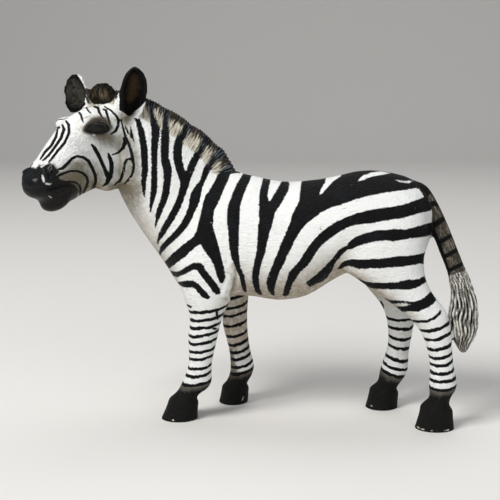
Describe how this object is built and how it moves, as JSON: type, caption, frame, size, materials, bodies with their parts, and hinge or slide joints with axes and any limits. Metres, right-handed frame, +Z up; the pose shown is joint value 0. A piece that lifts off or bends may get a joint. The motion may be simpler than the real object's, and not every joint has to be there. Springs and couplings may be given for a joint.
{
  "type": "zebra figurine",
  "caption": "Small solid moulded zebra figurine, standing with its head turned to its left, upright mane, cupped ears, tail against the left hock, flat hoof soles.",
  "frame": {"origin": "middle of the figure's box, on the ground under its hooves", "axes": "-X the way the body faces, -Y the figure's left side, +Z up"},
  "size_m": [0.1137, 0.0455, 0.0936],
  "materials": {
    "painted_plastic": "hand-painted solid plastic, semi-matt warm white with black stripes, grey mane and tail, charcoal hooves"
  },
  "bodies": {
    "root": {"zebra": "painted_plastic"}
  },
  "joints": []
}
